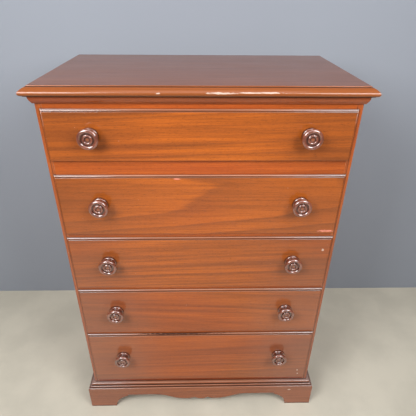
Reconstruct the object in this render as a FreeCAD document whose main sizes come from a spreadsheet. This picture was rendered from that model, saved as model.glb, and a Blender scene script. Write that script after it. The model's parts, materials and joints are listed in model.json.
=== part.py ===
"""Tall chest of five lipped drawers on a scalloped bracket base.

Millimetres, +Z up, +Y towards the back. The origin is on the floor, in the middle of
the chest's box. Every piece is drawn in the case's own frame, where y is counted from
the plane of the case front, and its Placement carries it to that plane.
"""
import FreeCAD, Part
import math
import os

import Sketcher

os.makedirs("parts", exist_ok=True)
doc = FreeCAD.newDocument("tall_chest")

# Driving sizes: name, value in millimetres (or degrees), meaning
SIZES = [
    ("case_width", 805, "outside width of the case"),
    ("case_depth", 448, "front plane of the case to the rear edges of its sides"),
    ("side_thickness", 16, "case side"),
    ("back_thickness", 6, "back panel"),
    ("back_rabbet", 8, "lap of the back panel into each case side"),
    ("top_thickness", 24.5, "top board"),
    ("top_overhang", 25.5, "reach of the top past the case at the front and the ends"),
    ("top_rear_overhang", 4, "reach of the top past the case at the back"),
    ("top_arris_radius", 2, "rounding of the top's field over the step"),
    ("top_fillet_step", 2.5, "step down from the top's field to its moulded edge"),
    ("top_ovolo_width", 17.5, "moulded edge, from the step out to the tip of the nose"),
    ("top_ovolo_start", 15, "slope at which the moulded edge leaves the step"),
    ("top_ovolo_end", 45, "slope at which the round nose takes over"),
    ("top_nose_radius", 6.5, "round nose of the top"),
    ("top_under_fillet", 1.5, "set-back of the fillet under the nose"),
    ("bed_height", 19.5, "bed moulding under the top"),
    ("bed_projection", 12, "reach of the bed moulding at its upper edge"),
    ("bed_fillet", 1.5, "square fillet under the top"),
    ("bed_foot", 5, "reach of the bed moulding near its lower edge"),
    ("bed_foot_radius", 3, "rounding of the bed moulding's lower edge"),
    ("opening_height_1", 129.5, "opening of the top drawer"),
    ("opening_height_2", 181.5, "opening of the second drawer"),
    ("opening_height_3", 181.5, "opening of the third drawer"),
    ("opening_height_4", 181.5, "opening of the fourth drawer"),
    ("opening_height_5", 231.5, "opening of the lowest drawer"),
    ("top_rail_height", 38.5, "rail over the top drawer"),
    ("rail_height_1", 48, "wide rail under the top drawer"),
    ("rail_height_2", 20.5, "rail under the second drawer"),
    ("rail_height_3", 20.5, "rail under the third drawer"),
    ("rail_height_4", 20.5, "rail under the fourth drawer"),
    ("bottom_rail_reveal", 21, "part of the bottom rail that shows over the base"),
    ("rail_depth", 60, "front to back size of every rail"),
    ("tongue_setback", 15, "rail tongue, behind the front plane"),
    ("runner_thickness", 18, "runners, kickers and rail tongues"),
    ("runner_width", 30, "part of a runner that stands out of the case side"),
    ("housing_depth", 5, "housings of the case sides"),
    ("base_height", 120, "floor to the top of the base boards"),
    ("base_thickness", 22.5, "base boards"),
    ("base_lap", 42, "height of base that overlaps the case"),
    ("base_nose_ledge", 6.5, "lowest ledge of the stepped edge"),
    ("base_bead_ledge", 5, "middle ledge of the stepped edge"),
    ("base_bead_rise", 6, "rise from the lowest to the middle ledge"),
    ("base_cap_rise", 10, "rise from the middle ledge to the top"),
    ("base_edge_radius", 3, "rounding of the two lower steps"),
    ("base_cap_radius", 4, "rounding of the uppermost step"),
    ("foot_width", 96.5, "bracket foot at the floor"),
    ("foot_curve_run", 48, "reach of the foot's hollow curve"),
    ("foot_curve_height", 60, "height of the foot's hollow curve"),
    ("apron_height", 67, "floor to the straight stretch of the apron"),
    ("apron_lobe_drop", 27, "drop from the straight stretch to a lobe"),
    ("apron_cusp_rise", 7.5, "rise from a lobe to the cusp beside it"),
    ("apron_centre_drop", 9.5, "drop from the cusps to the middle pendant"),
    ("apron_cusp_span", 25, "middle to a cusp"),
    ("apron_lobe_span", 32, "cusp to the lowest point of a lobe"),
    ("apron_ogee_span", 121, "lowest point of a lobe to the straight stretch"),
    ("block_size", 45, "glue blocks in the base corners"),
    ("block_lift", 3, "glue blocks, off the floor"),
    ("seat_gap", 0.3, "lip of a shut drawer to the case front"),
    ("running_gap", 0.3, "drawer sides over their runners"),
    ("drawer_side_gap", 1.5, "drawer to case side"),
    ("drawer_top_gap", 3, "drawer to the top of its opening"),
    ("drawer_edge_gap", 1, "lower edge of a front to its rail"),
    ("drawer_rear_gap", 12, "drawer to the back panel"),
    ("lip_overlap", 6, "lap of the lip over the case"),
    ("lip_land", 0.7, "square land of the lip"),
    ("lip_thumb_radius", 5.5, "quarter round of the lip"),
    ("lip_quirk", 3, "step from the quarter round up to the face"),
    ("lip_arris_radius", 1.2, "rounding of the face along the step"),
    ("front_arris_radius", 1.5, "rounding of the front's lower edge"),
    ("front_body_depth", 12, "part of a front that stands inside the opening"),
    ("drawer_side_thickness", 11, "drawer sides"),
    ("drawer_back_thickness", 11, "drawer backs"),
    ("drawer_back_housing", 4, "housing of a drawer back in the sides"),
    ("drawer_back_inset", 12, "drawer back, in front of the ends of the sides"),
    ("drawer_back_drop", 6, "drawer back, below the tops of the sides"),
    ("drawer_bottom_thickness", 5, "drawer bottoms"),
    ("drawer_bottom_height", 10, "drawer bottom, over the lower edge of the sides"),
    ("groove_depth", 5, "grooves for the drawer bottoms"),
    ("tail_length", 9, "dovetails of the drawer sides"),
    ("tail_pitch", 30, "dovetail spacing aimed at"),
    ("tail_space", 6, "gap between two dovetails at their tips"),
    ("tail_angle", 9.5, "slope of the dovetails"),
    ("knob_inset", 114.5, "axis of a knob, in from the end of the lip"),
    ("knob_height_1", 68.5, "knobs of the top drawer over its opening's floor"),
    ("knob_height_2", 100, "knobs of the second drawer"),
    ("knob_height_3", 100, "knobs of the third drawer"),
    ("knob_height_4", 100, "knobs of the fourth drawer"),
    ("knob_height_5", 130, "knobs of the lowest drawer"),
    ("knob_rim_radius", 26.75, "widest circle of a knob"),
    ("knob_flange_radius", 21.5, "round flange that sits on the drawer"),
    ("knob_flange_thickness", 5.5, "knob flange"),
    ("knob_neck_radius", 13.5, "neck where it leaves the flange"),
    ("knob_neck_length", 17.5, "hollow neck of a knob"),
    ("knob_neck_flatness", 0.64, "radius of the neck's hollow over its chord"),
    ("knob_rim_thickness", 7, "rounded rim of a knob, front to back"),
    ("knob_rim_width", 6.5, "rounded rim, from its edge in to the quirk"),
    ("knob_rim_shoulder", 2, "flat behind the rim"),
    ("knob_quirk_step", 0.8, "rise from the quirk to the edge of the dish"),
    ("knob_dish_flatness", 0.62, "radius of the dish over its chord"),
    ("knob_boss_radius", 9.5, "foot of the boss in the middle of the dish"),
    ("knob_boss_ring", 3.4, "section of the ring that crowns the boss"),
    ("knob_button_rise", 1, "crown of the button inside the ring"),
    ("screw_radius", 2, "knob screws"),
    ("screw_clearance", 0.1, "radial room round a knob screw"),
    ("screw_head_radius", 5, "head of a knob screw"),
    ("screw_head_height", 3, "crown of a knob screw's head"),
    ("screw_reach", 16, "length of screw inside a knob"),
    ("screw_tip_room", 1.5, "room past the tip of a screw"),
    ("cut_margin", 1, "how far a cut runs past the wood it removes"),
]

dims = doc.addObject("Spreadsheet::Sheet", "Dims")
for row, (alias, value, meaning) in enumerate(SIZES, start=1):
    dims.set(f"A{row}", meaning)
    dims.set(f"B{row}", str(value))
    dims.setAlias(f"B{row}", alias)
doc.recompute()

DRAWERS = ("1", "2", "3", "4", "5")
RAILS = DRAWERS[:-1]
SIDES = (("left", -1), ("right", 1))

# Places worked out from the driving sizes
PLACES = [
    ("case_half", "Dims.case_width / 2"),
    ("inner_half", "case_half - Dims.side_thickness"),
    ("top_half", "case_half + Dims.top_overhang"),
    ("base_half", "case_half + Dims.base_thickness"),
    ("back_face", "Dims.case_depth - Dims.back_thickness"),
    ("top_back", "Dims.case_depth + Dims.top_rear_overhang"),
    ("case_bottom", "Dims.base_height - Dims.base_lap"),
    ("floor_5", "Dims.base_height + Dims.bottom_rail_reveal"),
    ("floor_4", "floor_5 + Dims.opening_height_5 + Dims.rail_height_4"),
    ("floor_3", "floor_4 + Dims.opening_height_4 + Dims.rail_height_3"),
    ("floor_2", "floor_3 + Dims.opening_height_3 + Dims.rail_height_2"),
    ("floor_1", "floor_2 + Dims.opening_height_2 + Dims.rail_height_1"),
    ("ceiling_1", "floor_1 + Dims.opening_height_1"),
    ("case_top", "ceiling_1 + Dims.top_rail_height"),
    ("top_face", "case_top + Dims.top_thickness"),
    ("lip_proud", "Dims.seat_gap + Dims.lip_land + Dims.lip_thumb_radius + Dims.lip_quirk"),
    ("lip_half", "inner_half + Dims.lip_overlap"),
    ("drawer_half", "inner_half - Dims.drawer_side_gap"),
    ("drawer_rear", "back_face - Dims.drawer_rear_gap"),
    ("tail_front", "Dims.front_body_depth - Dims.tail_length"),
    ("tail_flare", "Dims.tail_length * tan(Dims.tail_angle * 1 deg)"),
    ("rim_back", "Dims.knob_flange_thickness + Dims.knob_neck_length"),
    ("rim_front", "rim_back + Dims.knob_rim_thickness"),
    ("knob_half", "lip_half - Dims.knob_inset"),
    ("front_plane", "(lip_proud + rim_front - top_back) / 2"),
]

layout = doc.addObject("Spreadsheet::Sheet", "Layout")
for row, (alias, formula) in enumerate(PLACES, start=1):
    layout.set(f"A{row}", alias.replace("_", " "))
    layout.set(f"B{row}", "=" + formula)
    layout.setAlias(f"B{row}", alias)
    doc.recompute()


def size(expression):
    """Return the value of an expression on the sheets."""
    return float(dims.evalExpression(expression))


# Helpers that draw and build

subparts = []


def place(piece, across="0", back="0", up="0"):
    """Carry a piece to the front plane of the case, moved by the three expressions."""
    piece.setExpression("Placement.Base.x", across)
    piece.setExpression("Placement.Base.y", f"Layout.front_plane + ({back})")
    piece.setExpression("Placement.Base.z", up)
    return piece


def keep(piece):
    """Count a finished object as a sub-part of the chest."""
    subparts.append(piece)
    return piece


def new_body(label):
    """Start a solid body with its own origin."""
    body = doc.addObject("PartDesign::Body", label)
    body.Label = label
    return body


def new_sketch(body, plane, name, offset="0"):
    """Attach a sketch to one of the body's own planes, moved along its normal."""
    sketch = body.newObject("Sketcher::SketchObject", name)
    planes = {feature.Role: feature for feature in body.Origin.OriginFeatures}
    sketch.AttachmentSupport = [(planes[plane], "")]
    sketch.MapMode = "FlatFace"
    sketch.setExpression("AttachmentOffset.Base.z", offset)
    return sketch


def arc_between(start, end, radius, turn):
    """Return the lesser arc from start to end that turns left or right on its way."""
    chord = end - start
    half = chord.Length / 2
    rise = math.sqrt(max(radius * radius - half * half, 0))
    to_left = FreeCAD.Vector(-chord.y, chord.x, 0).normalize()
    if turn == "right":
        to_left = to_left * -1
    centre = (start + end) * 0.5 + to_left * rise
    first = start - centre
    last = end - centre
    if turn == "right":
        first, last = last, first
    circle = Part.Circle(centre, FreeCAD.Vector(0, 0, 1), radius)
    return Part.ArcOfCircle(circle, math.atan2(first.y, first.x), math.atan2(last.y, last.x))


def draw_outline(sketch, corners):
    """Draw a closed outline whose corners are expressions.

    A corner is (across, up) where a straight edge leaves it, and
    (across, up, radius, turn) where an arc leaves it.
    """
    points = [FreeCAD.Vector(size(corner[0]), size(corner[1]), 0) for corner in corners]
    count = len(corners)
    base = sketch.GeometryCount
    ends = []
    for index, corner in enumerate(corners):
        start = points[index]
        end = points[(index + 1) % count]
        if len(corner) == 2:
            sketch.addGeometry(Part.LineSegment(start, end), False)
            ends.append((1, 2))
        else:
            radius, turn = corner[2:]
            sketch.addGeometry(arc_between(start, end, size(radius), turn), False)
            ends.append((1, 2) if turn == "left" else (2, 1))
    rules = []
    bindings = []
    for index, corner in enumerate(corners):
        following = (index + 1) % count
        here = base + index
        first, last = ends[index]
        meeting = ends[following][0]
        rules.append(Sketcher.Constraint("Coincident", here, last, base + following, meeting))
        rules.append(Sketcher.Constraint("DistanceX", -1, 1, here, first, points[index].x))
        bindings.append((len(rules) - 1, corner[0]))
        rules.append(Sketcher.Constraint("DistanceY", -1, 1, here, first, points[index].y))
        bindings.append((len(rules) - 1, corner[1]))
        if len(corner) > 2:
            rules.append(Sketcher.Constraint("Radius", here, size(corner[2])))
            bindings.append((len(rules) - 1, corner[2]))
    earlier = sketch.ConstraintCount
    sketch.addConstraint(rules)
    for number, expression in bindings:
        sketch.setExpression(f"Constraints[{earlier + number}]", expression)


def draw_circle(sketch, across, up, radius):
    """Draw a circle whose centre and radius are expressions."""
    here = sketch.GeometryCount
    centre = FreeCAD.Vector(size(across), size(up), 0)
    sketch.addGeometry(Part.Circle(centre, FreeCAD.Vector(0, 0, 1), size(radius)), False)
    earlier = sketch.ConstraintCount
    sketch.addConstraint([
        Sketcher.Constraint("DistanceX", -1, 1, here, 3, centre.x),
        Sketcher.Constraint("DistanceY", -1, 1, here, 3, centre.y),
        Sketcher.Constraint("Radius", here, size(radius)),
    ])
    for number, expression in enumerate((across, up, radius)):
        sketch.setExpression(f"Constraints[{earlier + number}]", expression)


def pad(body, sketch, length, side="One side", backwards=False):
    """Extrude a sketch into solid wood."""
    feature = body.newObject("PartDesign::Pad", sketch.Name + "_pad")
    feature.Profile = sketch
    feature.SideType = side
    feature.Reversed = backwards
    feature.setExpression("Length", length)
    return feature


def cut_through(body, sketch):
    """Cut a sketch right through the body, both ways."""
    feature = body.newObject("PartDesign::Pocket", sketch.Name + "_cut")
    feature.Profile = sketch
    feature.SideType = "Symmetric"
    feature.Type = "ThroughAll"
    return feature


def turn(body, sketch):
    """Turn a sketch about its upright axis, as on a lathe."""
    feature = body.newObject("PartDesign::Revolution", sketch.Name + "_turned")
    feature.Profile = sketch
    feature.ReferenceAxis = (sketch, ["V_Axis"])
    feature.Angle = 360
    return feature


def board(label, low, high):
    """Make a plain board from its low and high corners, each three expressions."""
    box = doc.addObject("Part::Box", label)
    box.Label = label
    for name, start, end in zip(("Length", "Width", "Height"), low, high):
        box.setExpression(name, f"({end}) - ({start})")
    return place(box, *low)


def group(label, pieces):
    """Hold several separate solids as one object."""
    holder = doc.addObject("Part::Compound", label)
    holder.Label = label
    holder.Links = pieces
    return holder


def join(label, first, second):
    """Join two overlapping or touching boards into one solid."""
    joined = doc.addObject("Part::Fuse", label)
    joined.Label = label
    joined.Base = first
    joined.Tool = second
    joined.Refine = True
    return joined


def house(label, blank, seated):
    """Cut into a blank the housings of the pieces that are seated in it."""
    housed = doc.addObject("Part::Cut", label)
    housed.Label = label
    housed.Base = blank
    housed.Tool = group(label + "_seats", seated)
    return housed


def tangent_radius(run, rise):
    """Radius of an arc that starts along the run and has climbed the rise at its end."""
    return f"((({run})^2 + ({rise})^2) / (2 * ({rise})))"


# Top board with its moulded edge


def top_edge(reach, face):
    """Corners of the moulded edge from the field's step down to the underside.

    reach turns a distance in from the nose tip into an expression across the sketch.
    face is the height of the field.
    """
    start = "Dims.top_ovolo_start * 1 deg"
    end = "Dims.top_ovolo_end * 1 deg"
    nose = "Dims.top_nose_radius"
    arris = "Dims.top_arris_radius"
    nose_in = f"{nose} * (1 - sin({end}))"
    upper = f"((Dims.top_ovolo_width - {nose_in}) / (sin({end}) - sin({start})))"
    shoulder = f"{face} - Dims.top_fillet_step"
    meeting = f"{shoulder} - {upper} * (cos({start}) - cos({end}))"
    centre = f"{meeting} - {nose} * cos({end})"
    under = f"{nose} + Dims.top_under_fillet"
    return [
        (reach(f"Dims.top_ovolo_width + {arris}"), face, arris, "curve"),
        (reach("Dims.top_ovolo_width"), f"{face} - {arris}"),
        (reach("Dims.top_ovolo_width"), shoulder, upper, "curve"),
        (reach(nose_in), meeting, nose, "curve"),
        (reach("0"), centre, nose, "curve"),
        (reach(nose), f"{centre} - {nose}"),
        (reach(under), f"{centre} - {nose}"),
    ]


def turned(corners, direction):
    """Give the arcs of an edge profile the direction in which they are walked."""
    return [corner[:3] + (direction,) if len(corner) > 2 else corner for corner in corners]


top = new_body("top_panel")
front_section = new_sketch(top, "YZ_Plane", "top_section")
front_edge = top_edge(lambda inset: f"{inset} - Dims.top_overhang", "Layout.top_face")
draw_outline(front_section, turned(front_edge, "left") + [
    ("Dims.top_nose_radius + Dims.top_under_fillet - Dims.top_overhang", "Layout.case_top"),
    ("Layout.top_back", "Layout.case_top"),
    ("Layout.top_back", "Layout.top_face"),
])
pad(top, front_section, "2 * (Layout.top_half + Dims.cut_margin)", "Symmetric")
end_waste = new_sketch(top, "XZ_Plane", "top_end_waste")
for name, sign in SIDES:
    edge = top_edge(lambda inset: f"{sign} * (Layout.top_half - ({inset}))", "Layout.top_face")
    under = "Dims.top_nose_radius + Dims.top_under_fillet"
    draw_outline(end_waste, turned(edge, "right" if sign > 0 else "left") + [
        (f"{sign} * (Layout.top_half - ({under}))", "Layout.case_top - Dims.cut_margin"),
        (f"{sign} * (Layout.top_half + 2 * Dims.cut_margin)", "Layout.case_top - Dims.cut_margin"),
        (f"{sign} * (Layout.top_half + 2 * Dims.cut_margin)", "Layout.top_face + Dims.cut_margin"),
        (edge[0][0], "Layout.top_face + Dims.cut_margin"),
    ])
cut_through(top, end_waste)
keep(place(top))


# Mitred trim round the front and ends of the case


def bed_section(out):
    """Corners of the bed moulding; out turns a reach from the case into an expression."""
    lower = "Layout.case_top - Dims.bed_height"
    foot = "Dims.bed_foot"
    rounding = "Dims.bed_foot_radius"
    belly_run = f"Dims.bed_projection - Dims.bed_fillet - {foot}"
    belly_rise = f"Dims.bed_height - Dims.bed_fillet - {rounding}"
    belly = tangent_radius(belly_rise, belly_run)
    return [
        (out("0"), lower),
        (out(f"{foot} - {rounding}"), lower, rounding, "curve"),
        (out(foot), f"{lower} + {rounding}", belly, "curve"),
        (out("Dims.bed_projection - Dims.bed_fillet"), "Layout.case_top - Dims.bed_fillet"),
        (out("Dims.bed_projection"), "Layout.case_top - Dims.bed_fillet"),
        (out("Dims.bed_projection"), "Layout.case_top"),
        (out("0"), "Layout.case_top"),
    ]


def base_section(out):
    """Corners of a base board with its stepped edge; out as in bed_section."""
    nose = "Dims.base_height - Dims.base_cap_rise - Dims.base_bead_rise"
    bead = "Dims.base_height - Dims.base_cap_rise"
    bead_out = "Dims.base_thickness - Dims.base_nose_ledge"
    cap_out = "Dims.base_thickness - Dims.base_nose_ledge - Dims.base_bead_ledge"
    edge = "Dims.base_edge_radius"
    cap = "Dims.base_cap_radius"
    return [
        (out("0"), "0"),
        (out("Dims.base_thickness"), "0"),
        (out("Dims.base_thickness"), f"{nose} - {edge}", edge, "curve"),
        (out(f"Dims.base_thickness - {edge}"), nose),
        (out(bead_out), nose),
        (out(bead_out), f"{bead} - {edge}", edge, "curve"),
        (out(f"{bead_out} - {edge}"), bead),
        (out(cap_out), bead),
        (out(cap_out), f"Dims.base_height - {cap}", cap, "curve"),
        (out(f"{cap_out} - {cap}"), "Dims.base_height"),
        (out("0"), "Dims.base_height"),
    ]


def front_trim(label, section, reach):
    """Make the trim across the front, mitred at both ends."""
    body = new_body(label)
    profile = new_sketch(body, "YZ_Plane", label + "_section")
    draw_outline(profile, turned(section(lambda distance: f"-({distance})"), "right"))
    pad(body, profile, f"2 * (Layout.case_half + {reach})", "Symmetric")
    mitres = new_sketch(body, "XY_Plane", label + "_mitres")
    for name, sign in SIDES:
        outer = f"{sign} * (Layout.case_half + {reach} + Dims.cut_margin)"
        draw_outline(mitres, [
            (f"{sign} * (Layout.case_half - Dims.cut_margin)", "Dims.cut_margin"),
            (outer, f"-({reach}) - Dims.cut_margin"),
            (outer, "Dims.cut_margin"),
        ])
    cut_through(body, mitres)
    return body


def end_trim(label, section, reach, sign):
    """Make the trim along one end of the case, mitred at the front."""
    body = new_body(label)
    profile = new_sketch(body, "XZ_Plane", label + "_section", reach)
    corners = section(lambda distance: f"{sign} * (Layout.case_half + {distance})")
    draw_outline(profile, turned(corners, "left" if sign > 0 else "right"))
    pad(body, profile, f"Dims.case_depth + {reach}", backwards=True)
    mitre = new_sketch(body, "XY_Plane", label + "_mitre")
    draw_outline(mitre, [
        (f"{sign} * (Layout.case_half - Dims.cut_margin)", "Dims.cut_margin"),
        (f"{sign} * (Layout.case_half - Dims.cut_margin)", f"-({reach}) - Dims.cut_margin"),
        (f"{sign} * (Layout.case_half + {reach} + Dims.cut_margin)", f"-({reach}) - Dims.cut_margin"),
    ])
    cut_through(body, mitre)
    return body


keep(place(front_trim("bed_moulding_front", bed_section, "Dims.bed_projection")))
for name, sign in SIDES:
    keep(place(end_trim(f"bed_moulding_{name}", bed_section, "Dims.bed_projection", sign)))

# Bracket base


def foot_curve(inner_foot, towards_middle):
    """Corners from the foot's inner end at the floor up to the straight stretch.

    inner_foot is the foot's inner end; towards_middle is the sign of the way to the middle.
    """
    run = f"{towards_middle} * Dims.foot_curve_run"
    hollow = tangent_radius("Dims.foot_curve_height", "Dims.foot_curve_run")
    return [
        (inner_foot, "-Dims.cut_margin"),
        (inner_foot, "0", hollow, "left" if towards_middle < 0 else "right"),
        (f"{inner_foot} + {run}", "Dims.foot_curve_height"),
        (f"{inner_foot} + {run}", "Dims.apron_height"),
    ]


def half_scallop(sign):
    """Corners of the scalloped apron from its straight stretch in to the cusp."""
    lobe = "Dims.apron_cusp_span + Dims.apron_lobe_span"
    ogee_out = f"{sign} * ({lobe} + Dims.apron_ogee_span)"
    ogee_mid = f"{sign} * ({lobe} + Dims.apron_ogee_span / 2)"
    lobe_height = "Dims.apron_height - Dims.apron_lobe_drop"
    ogee = tangent_radius("Dims.apron_ogee_span / 2", "Dims.apron_lobe_drop / 2")
    lobe_inner = tangent_radius("Dims.apron_lobe_span", "Dims.apron_cusp_rise")
    inward = "left" if sign > 0 else "right"
    outward = "right" if sign > 0 else "left"
    return [
        (ogee_out, "Dims.apron_height", ogee, inward),
        (ogee_mid, "Dims.apron_height - Dims.apron_lobe_drop / 2", ogee, outward),
        (f"{sign} * ({lobe})", lobe_height, lobe_inner, outward),
    ]


def mirrored_walk(corners):
    """Walk a run of corners the other way, keeping each arc between the same two corners."""
    places = [corner[:2] for corner in corners]
    arcs = [corner[2:] for corner in corners]
    swapped = {"left": "right", "right": "left"}
    walked = []
    for index in range(len(corners) - 1, -1, -1):
        arc = arcs[index - 1] if index > 0 else ()
        walked.append(places[index] + ((arc[0], swapped[arc[1]]) if arc else ()))
    return walked


base_front = front_trim("base_front", base_section, "Dims.base_thickness")
apron = new_sketch(base_front, "XZ_Plane", "apron_scallop")
cusp_height = "Dims.apron_height - Dims.apron_lobe_drop + Dims.apron_cusp_rise"
right_half = foot_curve("Layout.base_half - Dims.foot_width", -1) + half_scallop(1)
right_half.append(("Dims.apron_cusp_span", cusp_height))
left_half = foot_curve("Dims.foot_width - Layout.base_half", 1) + half_scallop(-1)
left_half.append(("-Dims.apron_cusp_span", cusp_height))
pendant = tangent_radius("Dims.apron_cusp_span", "Dims.apron_centre_drop")
right_half[-1] = right_half[-1] + (pendant, "right")
draw_outline(apron, right_half + mirrored_walk(left_half))
cut_through(base_front, apron)
keep(place(base_front))

for name, sign in SIDES:
    base_end = end_trim(f"base_{name}", base_section, "Dims.base_thickness", sign)
    feet = new_sketch(base_end, "YZ_Plane", f"base_{name}_feet")
    rear_foot = foot_curve("Dims.case_depth - Dims.foot_width", -1)
    front_foot = foot_curve("Dims.foot_width - Dims.base_thickness", 1)
    draw_outline(feet, rear_foot + mirrored_walk(front_foot))
    cut_through(base_end, feet)
    keep(place(base_end))


def corner_block(label, sign, corner_y, inward):
    """Make a three-cornered glue block under the case, in one corner of the base."""
    body = new_body(label)
    plan = new_sketch(body, "XY_Plane", label + "_plan", "Dims.block_lift")
    draw_outline(plan, [
        (f"{sign} * Layout.case_half", corner_y),
        (f"{sign} * (Layout.case_half - Dims.block_size)", corner_y),
        (f"{sign} * Layout.case_half", f"{corner_y} + {inward} * Dims.block_size"),
    ])
    pad(body, plan, "Layout.case_bottom - Dims.block_lift")
    return place(body)


blocks = []
for name, sign in SIDES:
    blocks.append(corner_block(f"front_block_{name}", sign, "0", 1))
    blocks.append(corner_block(f"rear_block_{name}", sign, "Dims.case_depth", -1))
keep(group("base_corner_blocks", blocks))

# Rails, runners and panels of the case


def rail(label, low, high, tongue_low):
    """Make a rail whose tongue enters the case sides behind their front edges."""
    face = board(
        label + "_face",
        ("-Layout.inner_half", "0", low),
        ("Layout.inner_half", "Dims.rail_depth", high),
    )
    reach = "Layout.inner_half + Dims.housing_depth"
    tongue = board(
        label + "_tongue",
        (f"-({reach})", "Dims.tongue_setback", tongue_low),
        (reach, "Dims.rail_depth", f"{tongue_low} + Dims.runner_thickness"),
    )
    return keep(join(label, face, tongue))


def runner(label, sign, low):
    """Make a runner or kicker, housed in one case side behind the rail."""
    inner = "Layout.inner_half - Dims.runner_width"
    outer = "Layout.inner_half + Dims.housing_depth"
    near, far = (inner, outer) if sign > 0 else (f"-({outer})", f"-({inner})")
    return board(
        label,
        (near, "Dims.rail_depth", low),
        (far, "Layout.back_face", f"{low} + Dims.runner_thickness"),
    )


rails = [rail("top_rail", "Layout.ceiling_1", "Layout.case_top", "Layout.ceiling_1")]
for level in RAILS:
    floor = f"Layout.floor_{level}"
    rails.append(rail(
        f"drawer_rail_{level}",
        f"{floor} - Dims.rail_height_{level}",
        floor,
        f"{floor} - Dims.runner_thickness",
    ))
rails.append(rail(
    "bottom_rail",
    "Layout.case_bottom",
    "Layout.floor_5",
    "Layout.floor_5 - Dims.runner_thickness",
))

kickers = []
runners = {}
for name, sign in SIDES:
    kickers.append(runner(f"kicker_{name}", sign, "Layout.ceiling_1"))
    runners[name] = [
        runner(f"runner_{name}_{level}", sign, f"Layout.floor_{level} - Dims.runner_thickness")
        for level in DRAWERS
    ]
    keep(group(f"runners_{name}", runners[name]))
keep(group("top_kickers", kickers))

back_reach = "Layout.inner_half + Dims.back_rabbet"
back_panel = keep(board(
    "back_panel",
    (f"-({back_reach})", "Layout.back_face", "Layout.case_bottom"),
    (back_reach, "Dims.case_depth", "Layout.case_top"),
))

for (name, sign), kicker in zip(SIDES, kickers):
    faces = ("Layout.inner_half", "Layout.case_half")
    near, far = faces if sign > 0 else ("-" + faces[1], "-" + faces[0])
    panel = board(
        f"side_panel_{name}_blank",
        (near, "0", "Layout.case_bottom"),
        (far, "Dims.case_depth", "Layout.case_top"),
    )
    keep(house(f"side_panel_{name}", panel, rails + runners[name] + [kicker, back_panel]))

# Drawers


def lip_edge(out):
    """Corners of the moulded lip from the face down to the lip's outer edge.

    out turns a distance in from the lip's edge into an expression; the second value of
    each corner is the place front to back.
    """
    step = "Dims.lip_quirk - Layout.lip_proud"
    land = f"{step} + Dims.lip_thumb_radius"
    arris = "Dims.lip_arris_radius"
    return [
        (out(f"(Dims.lip_thumb_radius + {arris})"), "-Layout.lip_proud", arris, "curve"),
        (out("Dims.lip_thumb_radius"), f"{arris} - Layout.lip_proud"),
        (out("Dims.lip_thumb_radius"), step, "Dims.lip_thumb_radius", "curve"),
        (out("0"), land),
        (out("0"), "-Dims.seat_gap"),
    ]


def front_blank(number):
    """Make a lipped drawer front before its sockets are cut."""
    label = f"drawer_front_{number}"
    opening = f"Dims.opening_height_{number}"
    body = new_body(label + "_blank")
    section = new_sketch(body, "YZ_Plane", label + "_section")
    lip_top = f"{opening} + Dims.lip_overlap"
    upper = [
        (corner[1], corner[0]) + corner[2:]
        for corner in turned(lip_edge(lambda inset: f"{lip_top} - {inset}"), "right")
    ]
    arris = "Dims.front_arris_radius"
    draw_outline(section, [
        ("Dims.front_body_depth", "Dims.drawer_edge_gap"),
        (f"{arris} - Layout.lip_proud", "Dims.drawer_edge_gap", arris, "right"),
        ("-Layout.lip_proud", f"Dims.drawer_edge_gap + {arris}"),
    ] + upper + [
        ("-Dims.seat_gap", f"{opening} - Dims.drawer_top_gap"),
        ("Dims.front_body_depth", f"{opening} - Dims.drawer_top_gap"),
    ])
    pad(body, section, "2 * (Layout.lip_half + Dims.cut_margin)", "Symmetric")
    waste = new_sketch(body, "XY_Plane", label + "_end_waste")
    beyond = "Layout.lip_half + 2 * Dims.cut_margin"
    ahead = "-Layout.lip_proud - Dims.cut_margin"
    behind = "Dims.front_body_depth + Dims.cut_margin"
    for name, sign in SIDES:
        edge = lip_edge(lambda inset: f"{sign} * (Layout.lip_half - {inset})")
        draw_outline(waste, [
            (f"{sign} * ({beyond})", ahead),
            (edge[0][0], ahead),
        ] + turned(edge, "left" if sign > 0 else "right") + [
            (f"{sign} * Layout.drawer_half", "-Dims.seat_gap"),
            (f"{sign} * Layout.drawer_half", behind),
            (f"{sign} * ({beyond})", behind),
        ])
    cut_through(body, waste)
    holes = new_sketch(body, "XZ_Plane", label + "_screw_holes")
    bore = "Dims.screw_radius + Dims.screw_clearance"
    for name, sign in SIDES:
        draw_circle(holes, f"{sign} * Layout.knob_half", f"Dims.knob_height_{number}", bore)
    cut_through(body, holes)
    return place(body, up=f"Layout.floor_{number}")


def side_blank(number, name, sign):
    """Make a drawer side with its row of dovetails, before its grooves are cut."""
    label = f"drawer_side_{name}_{number}"
    height = f"(Dims.opening_height_{number} - Dims.drawer_top_gap - Dims.running_gap)"
    tails = f"round({height} / Dims.tail_pitch)"
    body = new_body(label + "_blank")
    inner = "Layout.drawer_half - Dims.drawer_side_thickness"
    outline = new_sketch(body, "YZ_Plane", label + "_outline", inner if sign > 0 else "-Layout.drawer_half")
    draw_outline(outline, [
        ("Layout.tail_front", "0"),
        ("Layout.drawer_rear", "0"),
        ("Layout.drawer_rear", height),
        ("Layout.tail_front", height),
    ])
    pad(body, outline, "Dims.drawer_side_thickness")
    space = new_sketch(body, "YZ_Plane", label + "_tail_space")
    narrow = "Dims.tail_space / 2"
    wide = f"({narrow} + Layout.tail_flare)"
    draw_outline(space, [
        ("Layout.tail_front", f"-{narrow}"),
        ("Dims.front_body_depth", f"-{wide}"),
        ("Dims.front_body_depth", wide),
        ("Layout.tail_front", narrow),
    ])
    first = cut_through(body, space)
    row = body.newObject("PartDesign::LinearPattern", label + "_tail_row")
    row.Originals = [first]
    row.Direction = (space, ["V_Axis"])
    row.setExpression("Length", height)
    row.setExpression("Occurrences", f"{tails} + 1")
    body.Tip = row
    return place(body, up=f"Layout.floor_{number} + Dims.running_gap")


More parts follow.
